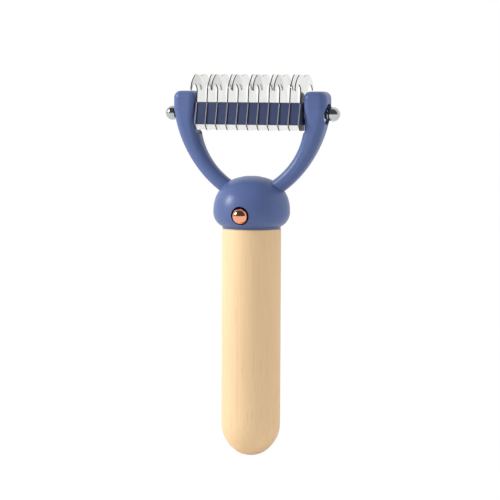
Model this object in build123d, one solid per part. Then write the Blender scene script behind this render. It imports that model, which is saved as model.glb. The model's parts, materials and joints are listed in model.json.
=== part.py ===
from build123d import *
import math
import os

# Deshedding tool: a wooden handle, a moulded dome with two arms, and a turning head of steel
# blades on an axle between the arms. Millimetres. The handle's axis is Z and the axle runs
# along X. The origin is on the handle's axis, halfway along the straight part that is gripped.

# Wooden handle
handle_radius = 12.7
grip_length = 84.0
handle_end_height = 14.2
shoulder_chamfer = 0.4
tenon_radius = 8.5
tenon_length = 8.5
tenon_chamfer = 0.4

# Dome
dome_radius = 16.5
dome_height = 22.4
dome_widest_height = 7.1
dome_foot_radius = handle_radius - 0.15
dome_foot_height = 0.7
dome_foot_bend_radius = 7.5
dome_shoulder = (dome_radius - 2.1, dome_height - 6.9)
dome_crown = [(dome_radius - 8.6, dome_height - 1.4), (dome_radius - 12.0, dome_height - 0.4)]
socket_clearance = 0.05
socket_end_gap = 0.2

# Copper stud in the dome's front, and the insert that it screws into
stud_height = 6.05
stud_ball_radius = 3.45
stud_ball_gap = 0.45
stud_recess_depth = dome_radius - 5.2
stud_recess_radius = stud_ball_radius + 0.5
stud_ball_depth = stud_recess_depth + stud_ball_gap + stud_ball_radius
stud_collar_radius = 2.4
stud_collar_reach = 1.4
stud_shank_radius = 1.5
insert_radius = 2.6
insert_length = 5.8
insert_start = tenon_radius - 0.5
stud_shank_end = insert_start - insert_length + 0.4
screw_play = 0.03

# Blades, each cut from sheet, and the spacers between them
blade_count = 11
blade_pitch = 4.65
blade_thickness = 0.5
blade_reach = 9.0
blade_bottom = 7.1
blade_base_half = 7.9
blade_neck = (5.45, 4.7)
blade_stem = (4.8, 10.0)
hook_throat = (8.0, 12.5)
hook_tip_inner = (12.0, 9.8)
hook_tip_outer = (12.9, 10.4)
hook_back = [(12.4, 12.1), (10.8, 14.2), (8.6, 15.8)]
hook_top = (5.2, 16.7)
notch_shoulder = (1.4, 16.4)
notch_bottom = (0.0, 15.9)
single_front = [(3.9, 12.4), (2.1, 14.4)]
single_top = (-0.7, 15.9)
spacer_top_half = 5.05
spacer_bottom_half = 7.4
spacer_half_height = 4.73
spacer_corner = 0.6
end_spacer_thickness = 0.5

# Axle with a square middle, round journals and threaded ends
stack_half = (blade_count - 1) / 2 * blade_pitch + blade_thickness / 2
axle_square = 5.0
axle_square_half_length = stack_half + end_spacer_thickness
axle_thread_radius = 1.5
axle_chamfer = 0.3
square_clearance = 0.02

# Bushes that the axle turns in
journal_radius = 2.0
bush_radius = journal_radius + 0.6
bush_flange_radius = bush_radius + 0.6
bush_flange = 0.5
bush_length = 7.3
running_clearance = 0.05
press_clearance = 0.01
head_side_play = 0.2

# Arms: each runs along an arc from inside the dome to the axle, then straight up
axle_height = 49.1
arm_inner_face = axle_square_half_length + head_side_play + bush_flange
arm_top_offset = arm_inner_face + 4.5
arm_bend_end_above_axle = 2.2
arm_top_above_axle = 9.6
arm_root_offset = 3.97
arm_root_height = 13.89
# The arc passes through the root and is upright at its upper end
arm_bend_run = arm_top_offset - arm_root_offset
arm_bend_rise = axle_height + arm_bend_end_above_axle - arm_root_height
arm_bend_radius = (arm_bend_run**2 + arm_bend_rise**2) / (2 * arm_bend_run)
arm_bend_centre = arm_top_offset - arm_bend_radius
arm_root_angle = math.degrees(math.atan2(arm_bend_rise, arm_root_offset - arm_bend_centre))
# Share of the arc below its upper end, half thickness, half depth and corner radius
arm_sections = [
    (1.0, 3.3, 3.6, 3.1),
    (0.6765, 3.3, 3.8, 3.1),
    (0.4706, 3.55, 4.2, 3.3),
    (0.2353, 4.2, 5.1, 3.5),
    (0.0, 5.2, 6.0, 3.3),
]
arm_top_rounding = 3.0
arm_inner_rounding = 1.2
arm_pocket_radius = blade_reach + 0.3
arm_recess_radius = 4.5
arm_recess_floor = arm_inner_face + bush_length
arm_socket_clearance = 0.05

# Screws that hold the arms' roots, driven up from the tenon's socket
arm_screw_offset = 6.5
arm_screw_head_radius = 1.9
arm_screw_head_height = 1.3
arm_screw_head_pocket = 1.5
arm_screw_slot_width = 0.5
arm_screw_slot_depth = 0.6
arm_screw_shank_radius = 1.1
arm_screw_length = 6.2
arm_screw_play = 0.2

# Cone washers and ball nuts at the axle's ends
journal_end = arm_recess_floor + 1.0
axle_end = arm_recess_floor + 5.4
washer_radius = 3.3
washer_thickness = 0.35
washer_rise = 0.35
washer_start = arm_recess_floor + 0.3
nut_ball_radius = 3.1
nut_ball_offset = arm_recess_floor + 4.15
nut_neck_radius = 2.2
nut_neck_start = arm_recess_floor + 1.05

# Heights from the origin
shoulder_z = grip_length / 2
axle_z = shoulder_z + axle_height
arm_bend_z = axle_z + arm_bend_end_above_axle
stud_z = shoulder_z + stud_height
cut_margin = 20.0


def turned(outline):
    """Solid of revolution about Z from a closed outline in the X-Z plane."""
    return revolve(Plane.XZ * make_face(outline), Axis.Z, 360)


def rod_x(radius, start, end, height=axle_z):
    """Round bar along X between two positions."""
    middle = (start + end) / 2
    bar = Cylinder(radius, abs(end - start))
    return Pos(middle, 0, height) * Rot(0, 90, 0) * bar


def rod_y(radius, start, end, height=stud_z):
    """Round bar along Y between two positions."""
    middle = (start + end) / 2
    bar = Cylinder(radius, abs(end - start))
    return Pos(0, middle, height) * Rot(90, 0, 0) * bar


def rod_z(radius, start, end, offset=0.0):
    """Upright round bar at an X offset between two heights."""
    middle = (start + end) / 2
    return Pos(offset, 0, middle) * Cylinder(radius, end - start)


def bar_x(width, start, end):
    """Square bar along X, centred on the axle."""
    middle = (start + end) / 2
    return Pos(middle, 0, axle_z) * Box(abs(end - start), width, width)


def save(node, shape):
    shape.label = node
    export_step(shape, os.path.join("parts", node + ".step"))


def wood_handle():
    """Dowel with a rounded end, and a tenon with a blind hole for the stud's insert."""
    bottom = -grip_length / 2
    diagonal = math.sqrt(0.5)
    rounded_end = Spline(
        (0, bottom - handle_end_height),
        (handle_radius * diagonal, bottom - handle_end_height * diagonal),
        (handle_radius, bottom),
        tangents=[(1, 0), (0, 1)],
    )
    sides = Polyline(
        (handle_radius, bottom),
        (handle_radius, shoulder_z - shoulder_chamfer),
        (handle_radius - shoulder_chamfer, shoulder_z),
        (tenon_radius, shoulder_z),
        (tenon_radius, shoulder_z + tenon_length - tenon_chamfer),
        (tenon_radius - tenon_chamfer, shoulder_z + tenon_length),
        (0, shoulder_z + tenon_length),
        (0, bottom - handle_end_height),
    )
    insert_hole = rod_y(insert_radius + press_clearance, -cut_margin, insert_length - insert_start)
    return turned(rounded_end + sides) - insert_hole


def dome_body():
    """Outer shape of the dome."""
    foot_z = shoulder_z + dome_foot_height
    widest_z = shoulder_z + dome_widest_height
    bend_centre = dome_radius - dome_foot_bend_radius
    foot_drop = math.sqrt(dome_foot_bend_radius**2 - (dome_foot_radius - bend_centre) ** 2)
    foot_top_z = max(foot_z, widest_z - foot_drop)
    halfway = math.atan2(widest_z - foot_top_z, dome_foot_radius - bend_centre) / 2
    halfway_point = (
        bend_centre + dome_foot_bend_radius * math.cos(halfway),
        widest_z - dome_foot_bend_radius * math.sin(halfway),
    )
    foot = Polyline((0, shoulder_z), (dome_foot_radius, shoulder_z), (dome_foot_radius, foot_top_z))
    belly = ThreePointArc((dome_foot_radius, foot_top_z), halfway_point, (dome_radius, widest_z))
    top = Spline(
        (dome_radius, widest_z),
        (dome_shoulder[0], shoulder_z + dome_shoulder[1]),
        *[(radius, shoulder_z + height) for radius, height in dome_crown],
        (0, shoulder_z + dome_height),
        tangents=[(0, 1), (-1, 0)],
    )
    axis_line = Line((0, shoulder_z + dome_height), (0, shoulder_z))
    return turned(foot + belly + top + axis_line)


def dome_hub():
    """Dome with the tenon's socket, the arms' sockets, screw holes and the stud's recess."""
    socket_top = shoulder_z + tenon_length + socket_end_gap
    hub = dome_body()
    hub -= rod_z(tenon_radius + socket_clearance, shoulder_z - cut_margin, socket_top)
    hub -= rod_y(stud_recess_radius, -cut_margin, -stud_recess_depth)
    hub -= rod_y(stud_shank_radius + screw_play, -stud_recess_depth, 0)
    for side in (1, -1):
        hub -= arm_bar(arm_socket_clearance, side)
        offset = side * arm_screw_offset
        seat = socket_top + arm_screw_head_pocket
        hub -= rod_z(arm_screw_head_radius + arm_screw_play, socket_top - 1, seat, offset)
        hub -= rod_z(arm_screw_shank_radius + arm_screw_play, seat, seat + arm_screw_length / 2, offset)
    return hub


def arm_section(share, half_thickness, half_depth, corner, extra):
    """Rounded section of the right arm, square to its arc."""
    turn = math.radians(arm_root_angle * share)
    place = Plane(
        origin=(
            arm_bend_centre + arm_bend_radius * math.cos(turn),
            0,
            arm_bend_z - arm_bend_radius * math.sin(turn),
        ),
        x_dir=(math.cos(turn), 0, -math.sin(turn)),
        z_dir=(math.sin(turn), 0, math.cos(turn)),
    )
    outline = RectangleRounded(
        2 * (half_thickness + extra), 2 * (half_depth + extra), corner + extra
    )
    return place * outline


def arm_bar(extra, side):
    """The arm's bent part, grown all round by a clearance."""
    bar = loft([arm_section(*section, extra) for section in arm_sections])
    return bar if side > 0 else mirror(bar, about=Plane.YZ)


def arm(side):
    """One arm: bent bar and upright head, relieved inside for the blades."""
    _, half_thickness, half_depth, corner = arm_sections[-1]
    head = extrude(
        Pos(arm_top_offset, 0, arm_bend_z)
        * RectangleRounded(2 * half_thickness, 2 * half_depth, corner),
        arm_top_above_axle - arm_bend_end_above_axle,
    )
    head = fillet(head.faces().sort_by(Axis.Z)[-1].edges(), arm_top_rounding)
    body = arm_bar(0, 1) + head
    relief = rod_x(arm_pocket_radius, 0, arm_inner_face)
    relief += Pos(arm_inner_face / 2, 0, axle_z + cut_margin / 2) * Box(
        arm_inner_face, 2 * arm_pocket_radius, cut_margin
    )
    body -= relief
    rim = body.edges().filter_by_position(Axis.X, arm_inner_face - 0.01, arm_inner_face + 0.01)
    body = fillet(rim, arm_inner_rounding)
    body -= rod_x(bush_radius + press_clearance, arm_inner_face - 1, arm_recess_floor + 1)
    body -= rod_x(arm_recess_radius, arm_recess_floor, arm_recess_floor + cut_margin)
    screw_top = arm_screw_seat() + arm_screw_length + arm_screw_play
    body -= rod_z(
        arm_screw_shank_radius + press_clearance, shoulder_z, screw_top, arm_screw_offset
    )
    return body if side > 0 else mirror(body, about=Plane.YZ)


def arm_screw_seat():
    """Height at which the heads of the arm screws sit."""
    return shoulder_z + tenon_length + socket_end_gap + arm_screw_head_pocket


def arm_screws():
    """Two slotted screws that hold the arms' roots in the dome."""
    seat = arm_screw_seat()
    under = seat - arm_screw_head_height
    screws = []
    for side in (1, -1):
        offset = side * arm_screw_offset
        screw = rod_z(arm_screw_head_radius, under, seat, offset)
        screw += rod_z(arm_screw_shank_radius, seat, seat + arm_screw_length, offset)
        screw -= Pos(offset, 0, under) * Box(
            2 * arm_screw_head_radius, arm_screw_slot_width, 2 * arm_screw_slot_depth
        )
        screws.append(screw)
    return Compound(children=screws)


def copper_stud():
    """Ball-headed stud with a collar that seats in the dome and a shank in the insert."""
    collar_start = -stud_recess_depth - stud_collar_reach
    stud = Pos(0, -stud_ball_depth, stud_z) * Sphere(stud_ball_radius)
    stud += rod_y(stud_collar_radius, collar_start, -stud_recess_depth)
    stud += rod_y(stud_shank_radius, collar_start, -stud_shank_end)
    return stud


def threaded_insert():
    """Brass sleeve in the tenon."""
    sleeve = rod_y(insert_radius, -insert_start, insert_length - insert_start)
    return sleeve - rod_y(stud_shank_radius + screw_play, -cut_margin, cut_margin)


def bush(side):
    """Flanged bush in an arm."""
    sleeve = rod_x(bush_radius, side * arm_inner_face, side * arm_recess_floor)
    sleeve += rod_x(
        bush_flange_radius, side * (arm_inner_face - bush_flange), side * arm_inner_face
    )
    bore = rod_x(
        journal_radius + running_clearance, side * axle_square_half_length, side * axle_end
    )
    return sleeve - bore


def axle_rod():
    """Axle: square where the blades sit, round in the bushes, threaded at the ends."""
    axle = bar_x(axle_square, -axle_square_half_length, axle_square_half_length)
    for side in (1, -1):
        axle += rod_x(journal_radius, side * axle_square_half_length, side * journal_end)
        end = rod_x(axle_thread_radius, side * journal_end, side * axle_end)
        tip = end.faces().sort_by(Axis.X)[-1 if side > 0 else 0]
        axle += chamfer(tip.edges(), axle_chamfer)
    return axle


def cone_washer(side):
    """Conical spring washer that presses on the ball nut's neck."""
    inner = journal_radius + running_clearance
    outline = Polyline(
        (inner, washer_rise),
        (inner, washer_rise + washer_thickness),
        (washer_radius, washer_thickness),
        (washer_radius, 0),
        close=True,
    )
    washer = revolve(Plane.XZ * make_face(outline), Axis.Z, 360)
    placed = Pos(washer_start, 0, axle_z) * Rot(0, 90, 0) * washer
    return placed if side > 0 else mirror(placed, about=Plane.YZ)


def ball_nut(side):
    """Ball with a short neck and a blind thread."""
    nut = Pos(nut_ball_offset, 0, axle_z) * Sphere(nut_ball_radius)
    nut += rod_x(nut_neck_radius, nut_neck_start, nut_ball_offset)
    nut -= rod_x(axle_thread_radius + screw_play, nut_neck_start - 1, axle_end + screw_play)
    return nut if side > 0 else mirror(nut, about=Plane.YZ)


def head_plane(position):
    """Plane square to the axle at an X position, centred on the axle, with Y to its right."""
    return Plane(origin=(position, 0, axle_z), x_dir=(0, 1, 0), z_dir=(1, 0, 0))


def mirrored(points):
    return [(-y, z) for y, z in points]


def hook_side(flip):
    """Edge of a hooked side, from the neck up round the hook to the blade's top."""
    sign = -1 if flip else 1

    def at(point):
        return (sign * point[0], point[1])

    stem = Line(at(blade_neck), at(blade_stem))
    throat = ThreePointArc(at(blade_stem), at(hook_throat), at(hook_tip_inner))
    tip = Line(at(hook_tip_inner), at(hook_tip_outer))
    back = Spline(
        at(hook_tip_outer),
        *[at(point) for point in hook_back],
        at(hook_top),
        tangents=[at((-0.1, 1.0)), at((-1.0, 0.0))],
    )
    return stem + throat + tip + back


def blade_base():
    """Edge of the blade's lower part, from neck to neck, inside the head's turning circle."""
    corner_z = -math.sqrt(blade_reach**2 - blade_base_half**2)
    corner_y = math.sqrt(blade_reach**2 - blade_bottom**2)
    middle = math.atan2((corner_z - blade_bottom) / 2, (blade_base_half + corner_y) / 2)
    corner_middle = (blade_reach * math.cos(middle), blade_reach * math.sin(middle))
    edges = Line((-corner_y, -blade_bottom), (corner_y, -blade_bottom))
    for sign in (1, -1):
        edges += ThreePointArc(
            (sign * corner_y, -blade_bottom),
            (sign * corner_middle[0], corner_middle[1]),
            (sign * blade_base_half, corner_z),
        )
        edges += Line((sign * blade_base_half, corner_z), (sign * blade_neck[0], blade_neck[1]))
    return edges


def blade_top(double):
    """Edge of the blade above its neck: a hook at the back, and a second in front if double."""
    edges = hook_side(False)
    if double:
        edges += hook_side(True)
        across = [hook_top, notch_shoulder, notch_bottom]
        across += [(-y, z) for y, z in (notch_shoulder, hook_top)]
        return edges + Polyline(*across)
    front = Spline(
        (-blade_stem[0], blade_stem[1]),
        *mirrored(single_front),
        single_top,
        hook_top,
        tangents=[(0.0, 1.0), (1.0, 0.0)],
    )
    return edges + Line((-blade_neck[0], blade_neck[1]), (-blade_stem[0], blade_stem[1])) + front


def blade(position, double):
    """One steel blade with a square hole for the axle."""
    outline = make_face(blade_base() + blade_top(double))
    sheet = extrude(head_plane(position - blade_thickness / 2) * outline, blade_thickness)
    return sheet - bar_x(axle_square + 2 * square_clearance, -axle_end, axle_end)


def spacer(start, end):
    """Moulded spacer block threaded on the axle."""
    outline = Polyline(
        (-spacer_bottom_half, -spacer_half_height),
        (spacer_bottom_half, -spacer_half_height),
        (spacer_top_half, spacer_half_height),
        (-spacer_top_half, spacer_half_height),
        close=True,
    )
    face = make_face(outline)
    face = fillet(face.vertices(), spacer_corner)
    block = extrude(head_plane(start) * face, end - start)
    return block - bar_x(axle_square + 2 * square_clearance, -axle_end, axle_end)


def blade_position(number):
    return (number - (blade_count + 1) / 2) * blade_pitch


os.makedirs("parts", exist_ok=True)
save("wood_handle", wood_handle())
save("dome_hub", dome_hub())
save("arm_screws", arm_screws())
save("copper_stud", copper_stud())
save("threaded_insert", threaded_insert())
save("axle_rod", axle_rod())
for side, name in ((1, "right"), (-1, "left")):
    save(name + "_arm", arm(side))
    save(name + "_bush", bush(side))
    save(name + "_cone_washer", cone_washer(side))
    save(name + "_ball_nut", ball_nut(side))
for number in range(1, blade_count + 1):
    save(f"blade_{number:02d}", blade(blade_position(number), number % 2 == 1))
for number in range(1, blade_count):
    start = blade_position(number) + blade_thickness / 2
    save(f"spacer_{number:02d}", spacer(start, start + blade_pitch - blade_thickness))
save("right_end_spacer", spacer(stack_half, axle_square_half_length))
save("left_end_spacer", spacer(-axle_square_half_length, -stack_half))
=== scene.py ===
import json
import math

import bmesh
import bpy
from mathutils import Matrix, Vector


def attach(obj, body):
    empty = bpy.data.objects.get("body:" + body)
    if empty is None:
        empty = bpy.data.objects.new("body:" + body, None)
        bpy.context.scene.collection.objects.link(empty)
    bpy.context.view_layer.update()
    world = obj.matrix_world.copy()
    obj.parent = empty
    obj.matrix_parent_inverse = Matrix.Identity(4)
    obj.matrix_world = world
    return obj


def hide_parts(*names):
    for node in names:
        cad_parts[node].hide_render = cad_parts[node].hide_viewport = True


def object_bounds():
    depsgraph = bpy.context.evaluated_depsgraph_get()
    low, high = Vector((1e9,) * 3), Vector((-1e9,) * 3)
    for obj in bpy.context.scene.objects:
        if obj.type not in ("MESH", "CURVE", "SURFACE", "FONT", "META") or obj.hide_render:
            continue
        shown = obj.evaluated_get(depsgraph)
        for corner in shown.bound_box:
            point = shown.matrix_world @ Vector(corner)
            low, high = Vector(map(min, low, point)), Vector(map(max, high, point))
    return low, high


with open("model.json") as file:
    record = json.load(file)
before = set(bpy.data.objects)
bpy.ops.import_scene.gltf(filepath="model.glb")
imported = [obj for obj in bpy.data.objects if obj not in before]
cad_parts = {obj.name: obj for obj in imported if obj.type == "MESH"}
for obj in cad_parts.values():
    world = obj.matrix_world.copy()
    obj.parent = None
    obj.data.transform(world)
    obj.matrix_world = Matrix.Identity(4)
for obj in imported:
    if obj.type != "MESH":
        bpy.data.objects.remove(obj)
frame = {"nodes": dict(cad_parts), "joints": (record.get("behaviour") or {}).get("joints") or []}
cadLow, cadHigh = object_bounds()
scene = bpy.context.scene
nodes = frame["nodes"]
axleHeight = frame["joints"][0]["pos_m"][2]
print("frame loaded:", len(nodes), "nodes")

# angles in degrees, azimuth counted round from the front towards +X
cameraSetup = {
    "lens": 172.8,  # mm
    "sensor": 36,  # mm
    "nearest": 0.01,
    "farthest": 20,
    "distance": 1.032,
    "azimuth": 18.5,
    "elevation": 4.3,
    "roll": 0.24,
    "targetHeight": 0.0325,
    "targetSide": -0.00065,
}


def directionTo(azimuth, elevation):
    turn = math.radians(azimuth)
    rise = math.radians(elevation)
    return Vector((
        math.sin(turn) * math.cos(rise),
        -math.cos(turn) * math.cos(rise),
        math.sin(rise),
    ))


def makeCamera():
    azimuth = math.radians(cameraSetup["azimuth"])
    side = Vector((math.cos(azimuth), math.sin(azimuth), 0))
    target = Vector((0, 0, cameraSetup["targetHeight"])) + side * cameraSetup["targetSide"]
    away = directionTo(cameraSetup["azimuth"], cameraSetup["elevation"])
    data = bpy.data.cameras.new("camera")
    data.lens = cameraSetup["lens"]
    data.sensor_width = cameraSetup["sensor"]
    data.clip_start = cameraSetup["nearest"]
    data.clip_end = cameraSetup["farthest"]
    camera = bpy.data.objects.new("camera", data)
    scene.collection.objects.link(camera)
    turn = (-away).to_track_quat("-Z", "Y").to_matrix().to_4x4()
    roll = Matrix.Rotation(math.radians(cameraSetup["roll"]), 4, "Z")
    place = Matrix.Translation(target + away * cameraSetup["distance"])
    camera.matrix_world = place @ turn @ roll
    scene.camera = camera


makeCamera()
scene.view_settings.view_transform = "Standard"
print("camera placed")


# small helpers for node trees, used by the studio and by every finish
def addNode(tree, kind, values=None, **settings):
    node = tree.nodes.new("ShaderNode" + kind)
    for label, value in settings.items():
        setattr(node, label, value)
    for label, value in (values or {}).items():
        node.inputs[label].default_value = value
    return node


def setOrLink(tree, socket, value):
    if isinstance(value, (int, float, tuple)):
        socket.default_value = value
    else:
        tree.links.new(value, socket)


def addMath(tree, operation, first, second, clamp=False):
    node = addNode(tree, "Math", operation=operation, use_clamp=clamp)
    setOrLink(tree, node.inputs[0], first)
    setOrLink(tree, node.inputs[1], second)
    return node.outputs[0]


def addMix(tree, amount, first, second, blend="MIX"):
    node = addNode(tree, "Mix", data_type="RGBA", blend_type=blend)
    setOrLink(tree, node.inputs[0], amount)
    setOrLink(tree, node.inputs[6], first)  # sockets 6 and 7 are the two colours
    setOrLink(tree, node.inputs[7], second)
    return node.outputs[2]


def addRange(tree, value, before, after):
    node = addNode(tree, "MapRange", {
        "From Min": before[0], "From Max": before[1],
        "To Min": after[0], "To Max": after[1],
    })
    tree.links.new(value, node.inputs["Value"])
    return node.outputs[0]


def addNoise(tree, scale, detail, roughness=0.5, stretch=(1, 1, 1)):
    coords = addNode(tree, "TexCoord").outputs["Object"]
    mapping = addNode(tree, "Mapping")
    setOrLink(tree, mapping.inputs["Scale"], stretch)
    tree.links.new(coords, mapping.inputs["Vector"])
    noise = addNode(tree, "TexNoise", {"Detail": detail, "Roughness": roughness})
    tree.links.new(mapping.outputs[0], noise.inputs["Vector"])
    setOrLink(tree, noise.inputs["Scale"], scale)
    return noise.outputs["Fac"]


studio = {
    "white": (1, 1, 1, 1),
    "floorDrop": 0.0003,
    "floorHalf": 6.0,
    "floorCells": 8,
    "floorColour": (0.86, 0.86, 0.85, 1),
    "floorGlow": 1.05,
    "floorGlowShare": 0.92,  # the rest is lit, and keeps the shadow
    "roomFront": (0.09, 0.09, 0.095, 1),  # what metal sees in front of the tool
    "roomBack": (1.0, 1.0, 1.0, 1),
    "roomFrontEnd": 0.42,  # 0 is the very front, 1 the very back
    "roomBackStart": 0.62,
    "roomPlain": (0.44, 0.44, 0.45, 1),  # what lights plain surfaces
}

# angles from the camera's side; only a lamp that shows in metal is mirrored
lamps = {
    "keyLeft": {
        "azimuth": -80, "elevation": 26, "distance": 0.95,
        "width": 0.28, "height": 0.34, "power": 5.6, "mirrored": True,
    },
    "fillLeft": {
        "azimuth": -66, "elevation": 14, "distance": 1.2,
        "width": 1.2, "height": 1.4, "power": 5.0, "mirrored": False,
    },
    "fillRight": {
        "azimuth": 80, "elevation": 8, "distance": 1.3,
        "width": 1.2, "height": 1.5, "power": 7.2, "mirrored": False,
    },
    "top": {
        "azimuth": -20, "elevation": 78, "distance": 1.3,
        "width": 1.6, "height": 1.6, "power": 2.2, "mirrored": False,
    },
}


def seenInMetalOrGlass(tree, path):
    return addMath(
        tree, "MAXIMUM", path.outputs["Is Glossy Ray"], path.outputs["Is Transmission Ray"]
    )


def makeFloorMaterial():
    material = bpy.data.materials.new("paleFloor")
    material.use_nodes = True
    tree = material.node_tree
    tree.nodes.clear()
    out = addNode(tree, "OutputMaterial")
    mix = addNode(tree, "MixShader")
    lit = addNode(tree, "BsdfDiffuse", {"Color": studio["floorColour"]})
    glow = addNode(tree, "Emission", {"Color": studio["white"], "Strength": studio["floorGlow"]})
    path = addNode(tree, "LightPath")
    mirrored = seenInMetalOrGlass(tree, path)
    seen = addMath(tree, "MAXIMUM", path.outputs["Is Camera Ray"], mirrored)
    share = addMath(tree, "MULTIPLY", seen, studio["floorGlowShare"])
    tree.links.new(share, mix.inputs[0])
    tree.links.new(lit.outputs[0], mix.inputs[1])
    tree.links.new(glow.outputs[0], mix.inputs[2])
    tree.links.new(mix.outputs[0], out.inputs[0])
    return material


def makeFloor():
    b = bmesh.new()
    cells = studio["floorCells"]
    bmesh.ops.create_grid(b, x_segments=cells, y_segments=cells, size=studio["floorHalf"])
    bmesh.ops.translate(b, verts=b.verts, vec=(0, 0, cadLow.z - studio["floorDrop"]))
    mesh = bpy.data.meshes.new("floor")
    b.to_mesh(mesh)
    b.free()
    mesh.materials.append(makeFloorMaterial())
    floor = bpy.data.objects.new("floor", mesh)
    scene.collection.objects.link(floor)


def makeWorld():
    # metal sees a white backdrop behind and a dark room in front, plain surfaces an even grey
    world = bpy.data.worlds.new("studio")
    world.use_nodes = True
    tree = world.node_tree
    tree.nodes.clear()
    out = addNode(tree, "OutputWorld")
    backdrop = addNode(tree, "Background", {"Color": studio["white"]})
    room = addNode(tree, "Background")
    path = addNode(tree, "LightPath")
    split = addNode(tree, "SeparateXYZ")
    tree.links.new(addNode(tree, "TexCoord").outputs["Generated"], split.inputs[0])
    depth = addRange(tree, split.outputs["Y"], (-1, 1), (0, 1))
    ramp = addNode(tree, "ValToRGB")
    tree.links.new(depth, ramp.inputs[0])
    front, back = ramp.color_ramp.elements
    front.position = studio["roomFrontEnd"]
    front.color = studio["roomFront"]
    back.position = studio["roomBackStart"]
    back.color = studio["roomBack"]
    mirrored = seenInMetalOrGlass(tree, path)
    colour = addMix(tree, mirrored, studio["roomPlain"], ramp.outputs[0])
    tree.links.new(colour, room.inputs["Color"])
    mix = addNode(tree, "MixShader")
    tree.links.new(path.outputs["Is Camera Ray"], mix.inputs[0])
    tree.links.new(room.outputs[0], mix.inputs[1])
    tree.links.new(backdrop.outputs[0], mix.inputs[2])
    tree.links.new(mix.outputs[0], out.inputs[0])
    scene.world = world


def makeLamps():
    middle = Vector((0, 0, (cadLow.z + cadHigh.z) / 2))
    for name, setup in lamps.items():
        away = directionTo(cameraSetup["azimuth"] + setup["azimuth"], setup["elevation"])
        data = bpy.data.lights.new(name, "AREA")
        data.shape = "RECTANGLE"
        data.size = setup["width"]
        data.size_y = setup["height"]
        data.energy = setup["power"]
        lamp = bpy.data.objects.new(name, data)
        lamp.visible_glossy = setup["mirrored"]
        scene.collection.objects.link(lamp)
        lamp.location = middle + away * setup["distance"]
        lamp.rotation_euler = (-away).to_track_quat("-Z", "Y").to_euler()


makeFloor()
makeWorld()
makeLamps()
print("studio made:", len(lamps), "lamps")


def newGroup(name, inputs, outputs):
    group = bpy.data.node_groups.new(name, "ShaderNodeTree")
    for label, (kind, value) in inputs.items():
        socket = group.interface.new_socket(
            label, in_out="INPUT", socket_type="NodeSocket" + kind
        )
        socket.default_value = value
    for label, kind in outputs.items():
        group.interface.new_socket(label, in_out="OUTPUT", socket_type="NodeSocket" + kind)
    source = group.nodes.new("NodeGroupInput")
    target = group.nodes.new("NodeGroupOutput")
    return group, source.outputs, target.inputs


edgeWearSetup = {
    "samples": 4,
    "flatTurn": 0.995,  # cosines of how far the surface turns
    "sharpTurn": 0.86,
    "leastWear": 0.2,
}


def makeEdgeWear():
    # where the surface turns within a small radius is an edge, whatever the mesh is like
    group, given, result = newGroup(
        "edgeWear",
        {"Amount": ("Float", 0.5), "Radius": ("Float", 0.0003), "Patch Scale": ("Float", 220.0)},
        {"Mask": "Float"},
    )
    geometry = addNode(group, "NewGeometry")
    rounded = addNode(group, "Bevel", samples=edgeWearSetup["samples"])
    group.links.new(given["Radius"], rounded.inputs["Radius"])
    turn = addNode(group, "VectorMath", operation="DOT_PRODUCT")
    group.links.new(rounded.outputs["Normal"], turn.inputs[0])
    group.links.new(geometry.outputs["Normal"], turn.inputs[1])
    turns = (edgeWearSetup["flatTurn"], edgeWearSetup["sharpTurn"])
    edge = addRange(group, turn.outputs["Value"], turns, (0, 1))
    patch = addNoise(group, given["Patch Scale"], detail=4, roughness=0.6)
    broken = addRange(group, patch, (0.35, 0.65), (edgeWearSetup["leastWear"], 1))
    worn = addMath(group, "MULTIPLY", edge, broken)
    mask = addMath(group, "MULTIPLY", worn, given["Amount"], clamp=True)
    group.links.new(mask, result["Mask"])
    return group


handlingSetup = {"smudgeScale": 45, "speckScale": 1400}


def makeHandlingMarks():
    # soft smudges and fine dust marks, as a value round 0 to add to a roughness
    group, given, result = newGroup(
        "handlingMarks",
        {"Smudge": ("Float", 0.05), "Speck": ("Float", 0.03)},
        {"Roughness Shift": "Float", "Height": "Float"},
    )
    smudges = addNoise(group, handlingSetup["smudgeScale"], detail=3)
    specks = addNoise(group, handlingSetup["speckScale"], detail=4, roughness=0.7)
    broad = addRange(group, smudges, (0.35, 0.65), (-1, 1))
    fine = addRange(group, specks, (0.3, 0.7), (-1, 1))
    broadShift = addMath(group, "MULTIPLY", broad, given["Smudge"])
    fineShift = addMath(group, "MULTIPLY", fine, given["Speck"])
    shift = addMath(group, "ADD", broadShift, fineShift)
    group.links.new(shift, result["Roughness Shift"])
    group.links.new(fine, result["Height"])
    return group


def makePolishLines():
    # fine parallel polishing lines along the axis with the smallest stretch
    group, given, result = newGroup(
        "polishLines",
        {"Scale": ("Float", 900.0), "Stretch": ("Vector", (1, 1, 0.02)), "Depth": ("Float", 1.0)},
        {"Height": "Float", "Mask": "Float"},
    )
    noise = addNoise(group, given["Scale"], detail=5, roughness=0.65, stretch=given["Stretch"])
    lines = addRange(group, noise, (0.35, 0.65), (0, 1))
    group.links.new(addMath(group, "MULTIPLY", lines, given["Depth"]), result["Height"])
    group.links.new(lines, result["Mask"])
    return group


# the first four are noise scale, detail, roughness and stretch along the handle
grainSetup = {
    "bands": (130, 3, 0.55, (1, 0.35, 0.03)),
    "fibres": (1900, 6, 0.7, (1, 1, 0.016)),
    "pores": (2600, 2, 0.5, (1, 1, 0.035)),
    "cloud": (28, 2, 0.5, (1, 1, 0.5)),
    "bandShare": 0.45,
    "fibreShare": 0.4,
    "cloudShare": 0.12,
    "poreTint": (0.72, 0.6, 0.45, 1),
    "poreDepth": 0.8,
    "fibreDepth": 0.35,
    "roughnessShift": 0.08,
}


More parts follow.
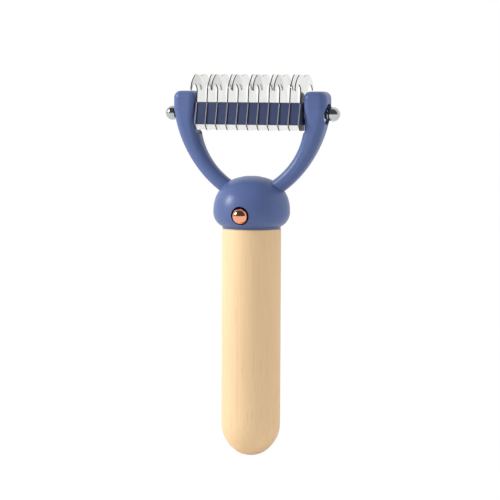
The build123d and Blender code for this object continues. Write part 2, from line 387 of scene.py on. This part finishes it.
def makeStraightGrain():
    group, given, result = newGroup(
        "straightGrain",
        {
            "Pale": ("Color", (0.9, 0.7, 0.45, 1)),
            "Deep": ("Color", (0.7, 0.48, 0.27, 1)),
            "Pore": ("Float", 0.5),
        },
        {"Colour": "Color", "Height": "Float", "Roughness Shift": "Float"},
    )
    bands = addRange(group, addNoise(group, *grainSetup["bands"]), (0.3, 0.7), (0, 1))
    fibres = addNoise(group, *grainSetup["fibres"])
    cloud = addRange(group, addNoise(group, *grainSetup["cloud"]), (0.3, 0.7), (-1, 1))
    fibreTone = addRange(group, fibres, (0.3, 0.7), (0, 1))
    tone = addMath(
        group, "ADD",
        addMath(group, "MULTIPLY", bands, grainSetup["bandShare"]),
        addMath(group, "MULTIPLY", fibreTone, grainSetup["fibreShare"]),
    )
    wander = addMath(group, "MULTIPLY", cloud, grainSetup["cloudShare"])
    tone = addMath(group, "ADD", tone, wander, clamp=True)
    pores = addRange(group, addNoise(group, *grainSetup["pores"]), (0.62, 0.74), (0, 1))
    pit = addMath(group, "MULTIPLY", pores, given["Pore"])
    colour = addMix(group, tone, given["Pale"], given["Deep"])
    pitted = addMix(group, 1.0, colour, grainSetup["poreTint"], "MULTIPLY")
    group.links.new(addMix(group, pit, colour, pitted), result["Colour"])
    raised = addMath(group, "MULTIPLY", fibres, grainSetup["fibreDepth"])
    sunk = addMath(group, "MULTIPLY", pit, grainSetup["poreDepth"])
    group.links.new(addMath(group, "SUBTRACT", raised, sunk), result["Height"])
    shift = addMath(group, "MULTIPLY", tone, grainSetup["roughnessShift"])
    group.links.new(shift, result["Roughness Shift"])
    return group


creviceSetup = {"samples": 8, "shade": (0.16, 0.15, 0.16, 1), "open": 0.75, "closed": 0.3}


def makeCreviceShade():
    # painted shade: the colour is darkened by ambient occlusion where two pieces meet
    group, given, result = newGroup(
        "creviceShade",
        {
            "Colour": ("Color", (0.5, 0.5, 0.5, 1)),
            "Reach": ("Float", 0.0012),
            "Amount": ("Float", 0.7),
        },
        {"Colour": "Color"},
    )
    near = addNode(group, "AmbientOcclusion", samples=creviceSetup["samples"])
    group.links.new(given["Reach"], near.inputs["Distance"])
    openness = (creviceSetup["open"], creviceSetup["closed"])
    closed = addRange(group, near.outputs["AO"], openness, (0, 1))
    amount = addMath(group, "MULTIPLY", closed, given["Amount"])
    dark = addMix(group, 1.0, given["Colour"], creviceSetup["shade"], "MULTIPLY")
    group.links.new(addMix(group, amount, given["Colour"], dark), result["Colour"])
    return group


creviceShade = makeCreviceShade()
edgeWear = makeEdgeWear()
handlingMarks = makeHandlingMarks()
polishLines = makePolishLines()
straightGrain = makeStraightGrain()
print("shared effects made")


def newFinish(name, settings):
    material = bpy.data.materials.new(name)
    material.use_nodes = True
    tree = material.node_tree
    shader = tree.nodes["Principled BSDF"]
    for label, value in settings.items():
        shader.inputs[label].default_value = value
    return material, tree, shader


def placeGroup(tree, group, values):
    return addNode(tree, "Group", values, node_tree=group)


def addBump(tree, shader, height, distance, strength):
    bump = addNode(tree, "Bump", {"Distance": distance, "Strength": strength})
    tree.links.new(height, bump.inputs["Height"])
    tree.links.new(bump.outputs[0], shader.inputs["Normal"])


# reach and strength of the painted shade where pieces meet
crevices = {"Reach": 0.0010, "Amount": 0.7}


# mixes the worn colour in at edges, then darkens the colour with painted shade where pieces meet
def addWearAndPaintedShade(tree, shader, colour, worn, wear):
    crevice = placeGroup(tree, creviceShade, crevices)
    tree.links.new(addMix(tree, wear, colour, worn), crevice.inputs["Colour"])
    tree.links.new(crevice.outputs["Colour"], shader.inputs["Base Color"])


handleWood = {
    "pale": (0.92, 0.68, 0.405, 1),
    "deep": (0.80, 0.54, 0.30, 1),
    "worn": (0.62, 0.42, 0.24, 1),
    "pore": 0.5,
    "roughness": 0.55,
    "coat": 0.04,
    "coatRoughness": 0.3,
    "specular": 0.4,
    "smudge": 0.05,
    "speck": 0.02,
    "wear": {"Amount": 0.5, "Radius": 0.0004, "Patch Scale": 160},
    "bump": (0.00002, 0.6),  # distance and strength
}


def makeHandleWood():
    setup = handleWood
    material, tree, shader = newFinish("wood", {
        "Coat Weight": setup["coat"],
        "Coat Roughness": setup["coatRoughness"],
        "Specular IOR Level": setup["specular"],
    })
    grain = placeGroup(tree, straightGrain, {
        "Pale": setup["pale"], "Deep": setup["deep"], "Pore": setup["pore"],
    })
    marks = placeGroup(tree, handlingMarks, {"Smudge": setup["smudge"], "Speck": setup["speck"]})
    wear = placeGroup(tree, edgeWear, setup["wear"])
    addWearAndPaintedShade(tree, shader, grain.outputs["Colour"], setup["worn"], wear.outputs["Mask"])
    shift = addMath(
        tree, "ADD", grain.outputs["Roughness Shift"], marks.outputs["Roughness Shift"]
    )
    rough = addMath(tree, "ADD", shift, setup["roughness"])
    tree.links.new(rough, shader.inputs["Roughness"])
    addBump(tree, shader, grain.outputs["Height"], *setup["bump"])
    return material


# what all the moulded pieces share, then each one's own colours and gloss
moulding = {
    "coatRoughness": 0.18,
    "specular": 0.32,
    "smudge": 0.04,
    "speck": 0.03,
    "wear": {"Amount": 0.45, "Radius": 0.0003, "Patch Scale": 260},
    "toneScale": 60,
    "toneSpread": (0.96, 1.04),
    "bump": (0.000008, 0.35),
}
plastics = {
    "blue_plastic": {
        "name": "bluePaint",
        "base": (0.094, 0.138, 0.312, 1), "worn": (0.16, 0.22, 0.42, 1), "roughness": 0.34,
    },
    "dark_blue_plastic": {
        "name": "darkBluePlastic",
        "base": (0.037, 0.053, 0.128, 1), "worn": (0.06, 0.08, 0.17, 1), "roughness": 0.5,
    },
    "nylon": {
        "name": "nylon",
        "base": (0.8, 0.79, 0.74, 1), "worn": (0.9, 0.89, 0.85, 1), "roughness": 0.5,
    },
}


def makePlastic(setup):
    material, tree, shader = newFinish(setup["name"], {
        "Coat Roughness": moulding["coatRoughness"],
        "Specular IOR Level": moulding["specular"],
    })
    marks = placeGroup(tree, handlingMarks, {
        "Smudge": moulding["smudge"], "Speck": moulding["speck"],
    })
    wear = placeGroup(tree, edgeWear, moulding["wear"])
    cloud = addNoise(tree, moulding["toneScale"], detail=3)
    tone = addRange(tree, cloud, (0.3, 0.7), moulding["toneSpread"])
    shade = addNode(tree, "HueSaturation", {"Color": setup["base"]})
    tree.links.new(tone, shade.inputs["Value"])
    addWearAndPaintedShade(tree, shader, shade.outputs[0], setup["worn"], wear.outputs["Mask"])
    rough = addMath(tree, "ADD", marks.outputs["Roughness Shift"], setup["roughness"])
    tree.links.new(rough, shader.inputs["Roughness"])
    addBump(tree, shader, marks.outputs["Height"], *moulding["bump"])
    return material


# what all the plain metals share, then each one's own colours, gloss and polishing lines
metalwork = {
    "lineScale": 1100,
    "smudgeShare": 0.25,  # shares of the metal's own roughness
    "speckShare": 0.15,
    "lineShare": 0.25,
    "cloudScale": 90,
    "wear": {"Amount": 0.4, "Radius": 0.0001, "Patch Scale": 300},
    "bump": (0.000003, 0.25),
}
metals = {
    "chrome": {
        "name": "chrome", "base": (0.60, 0.61, 0.61, 1), "deep": (0.42, 0.43, 0.43, 1),
        "roughness": 0.09, "stretch": (1, 1, 1), "lineDepth": 0.15,
    },
    "copper": {
        "name": "copper", "base": (0.93, 0.42, 0.27, 1), "deep": (0.88, 0.37, 0.23, 1),
        "roughness": 0.12, "stretch": (1, 1, 1), "lineDepth": 0.2,
    },
    "brass": {
        "name": "brass", "base": (0.82, 0.64, 0.3, 1), "deep": (0.74, 0.55, 0.24, 1),
        "roughness": 0.25, "stretch": (1, 1, 0.03), "lineDepth": 0.5,
    },
    "zinc_steel": {
        "name": "zincSteel", "base": (0.7, 0.71, 0.72, 1), "deep": (0.6, 0.61, 0.63, 1),
        "roughness": 0.28, "stretch": (0.03, 1, 1), "lineDepth": 0.5,
    },
    "spring_steel": {
        "name": "springSteel", "base": (0.62, 0.62, 0.62, 1), "deep": (0.5, 0.5, 0.5, 1),
        "roughness": 0.2, "stretch": (1, 1, 1), "lineDepth": 0.3,
    },
}


def makeMetal(setup):
    roughness = setup["roughness"]
    material, tree, shader = newFinish(setup["name"], {"Metallic": 1.0})
    lines = placeGroup(tree, polishLines, {
        "Scale": metalwork["lineScale"], "Stretch": setup["stretch"], "Depth": setup["lineDepth"],
    })
    marks = placeGroup(tree, handlingMarks, {
        "Smudge": metalwork["smudgeShare"] * roughness,
        "Speck": metalwork["speckShare"] * roughness,
    })
    wear = placeGroup(tree, edgeWear, metalwork["wear"])
    cloud = addNoise(tree, metalwork["cloudScale"], detail=4, roughness=0.6)
    cloud = addRange(tree, cloud, (0.35, 0.7), (0, 1))
    colour = addMix(tree, cloud, setup["base"], setup["deep"])
    addWearAndPaintedShade(tree, shader, colour, setup["base"], wear.outputs["Mask"])
    lined = addMath(tree, "MULTIPLY", lines.outputs["Mask"], metalwork["lineShare"] * roughness)
    shift = addMath(tree, "ADD", marks.outputs["Roughness Shift"], lined)
    tree.links.new(addMath(tree, "ADD", shift, roughness), shader.inputs["Roughness"])
    addBump(tree, shader, lines.outputs["Height"], *metalwork["bump"])
    return material


bladeSteel = {
    "face": (0.84, 0.84, 0.82, 1),
    "faceDeep": (0.74, 0.74, 0.725, 1),
    "faceScale": 160,
    "faceRoughness": 0.07,
    "cut": (0.012, 0.012, 0.014, 1),
    "cutPale": (0.05, 0.05, 0.055, 1),
    "cutScale": 900,
    "cutTurn": (0.75, 0.45),  # how squarely it looks along the axle, from face to cut edge
    "cutRoughness": 0.3,
    "paleEdge": (0.26, 0.26, 0.29, 1),  # the cut edges beside the spacers
    "paleEdgeHeight": (0.0049, 0.0044),  # from the axle, where the paler edge starts and is full
    "paleEdgeDull": 0.85,
    "smudge": 0.02,
    "speck": 0.015,
    "lineScale": 1300,
    "lineStretch": (1, 0.03, 1),
    "lineDepth": 0.4,
    "lineRoughness": 0.02,
    "bump": (0.000002, 0.2),
}


def makeBladeSteel():
    # mirror-polished faces, and cut edges that were ground and left darker
    setup = bladeSteel
    material, tree, shader = newFinish("polishedSteel", {"Metallic": 1.0})
    lines = placeGroup(tree, polishLines, {
        "Scale": setup["lineScale"], "Stretch": setup["lineStretch"], "Depth": setup["lineDepth"],
    })
    marks = placeGroup(tree, handlingMarks, {"Smudge": setup["smudge"], "Speck": setup["speck"]})
    split = addNode(tree, "SeparateXYZ")
    tree.links.new(addNode(tree, "NewGeometry").outputs["Normal"], split.inputs[0])
    facing = addMath(tree, "ABSOLUTE", split.outputs["X"], 0)
    edge = addRange(tree, facing, setup["cutTurn"], (0, 1))
    cloud = addNoise(tree, setup["faceScale"], detail=4, roughness=0.6)
    cloud = addRange(tree, cloud, (0.35, 0.7), (0, 1))
    face = addMix(tree, cloud, setup["face"], setup["faceDeep"])
    mottle = addNoise(tree, setup["cutScale"], detail=3)
    cut = addMix(tree, mottle, setup["cut"], setup["cutPale"])
    # cut edges near the axle, beside the spacers, are made a paler grey and less metallic
    place = addNode(tree, "SeparateXYZ")
    tree.links.new(addNode(tree, "TexCoord").outputs["Object"], place.inputs[0])
    fromAxle = addMath(tree, "SUBTRACT", place.outputs["Z"], axleHeight)
    fromAxle = addMath(tree, "ABSOLUTE", fromAxle, 0)
    paleEdge = addRange(tree, fromAxle, setup["paleEdgeHeight"], (0, 1))
    cut = addMix(tree, paleEdge, cut, setup["paleEdge"])
    tree.links.new(addMix(tree, edge, face, cut), shader.inputs["Base Color"])
    dull = addMath(tree, "MULTIPLY", paleEdge, edge)
    dull = addMath(tree, "MULTIPLY", dull, setup["paleEdgeDull"])
    tree.links.new(addMath(tree, "SUBTRACT", 1.0, dull), shader.inputs["Metallic"])
    lined = addMath(tree, "MULTIPLY", lines.outputs["Mask"], setup["lineRoughness"])
    shift = addMath(tree, "ADD", marks.outputs["Roughness Shift"], lined)
    edgeShift = addMath(tree, "MULTIPLY", edge, setup["cutRoughness"])
    shift = addMath(tree, "ADD", shift, edgeShift)
    rough = addMath(tree, "ADD", shift, setup["faceRoughness"])
    tree.links.new(rough, shader.inputs["Roughness"])
    addBump(tree, shader, lines.outputs["Height"], *setup["bump"])
    return material


# one finish for each material slot of the record
finishes = {"wood": makeHandleWood(), "polished_steel": makeBladeSteel()}
for slotName, setup in plastics.items():
    finishes[slotName] = makePlastic(setup)
for slotName, setup in metals.items():
    finishes[slotName] = makeMetal(setup)
print("finishes made:", len(finishes))

bladeEdges = {"width": 0.00007, "segments": 2, "leastAngle": 30}
spacerEdges = {"width": 0.00028, "segments": 3, "leastAngle": 30}
mergeSetup = {"distance": 0.000002, "flatAngle": 0.6, "normalWeight": 80}


def mergedCopy(name):
    # the CAD mesh is loose triangles, so its copy is merged and its flat faces joined
    b = bmesh.new()
    b.from_mesh(nodes[name].data)
    bmesh.ops.remove_doubles(b, verts=b.verts, dist=mergeSetup["distance"])
    flat = math.radians(mergeSetup["flatAngle"])
    bmesh.ops.dissolve_limit(b, angle_limit=flat, verts=b.verts, edges=b.edges)
    return b


def softenedPiece(name, edges, slot):
    b = mergedCopy(name)
    limit = math.radians(edges["leastAngle"])
    sharp = [e for e in b.edges if e.is_manifold and e.calc_face_angle(0) > limit]
    bmesh.ops.bevel(
        b, geom=sharp, offset=edges["width"], offset_type="OFFSET", affect="EDGES",
        segments=edges["segments"], profile=0.5, material=-1, clamp_overlap=True,
    )
    bmesh.ops.recalc_face_normals(b, faces=b.faces)
    for face in b.faces:
        face.smooth = True
    mesh = bpy.data.meshes.new(name + "_shape")
    b.to_mesh(mesh)
    b.free()
    mesh.materials.append(finishes[slot])
    piece = bpy.data.objects.new(name + "_shape", mesh)
    scene.collection.objects.link(piece)
    weighted = piece.modifiers.new("weightedNormals", "WEIGHTED_NORMAL")
    weighted.keep_sharp = False
    weighted.weight = mergeSetup["normalWeight"]
    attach(piece, "blade_head")
    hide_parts(name)


def softenHead():
    for name in sorted(nodes):
        if name.startswith("blade_"):
            softenedPiece(name, bladeEdges, "polished_steel")
        elif "spacer" in name:
            softenedPiece(name, spacerEdges, "dark_blue_plastic")


softenHead()
print("blades and spacers softened")


def finishNodes():
    for name, node in nodes.items():
        for slot in node.material_slots:
            label = slot.material.name.split(".")[0] if slot.material else ""
            if label in finishes:
                slot.material = finishes[label]
            else:
                print("no finish for", name, label)


finishNodes()
print("CAD nodes finished:", len(nodes))
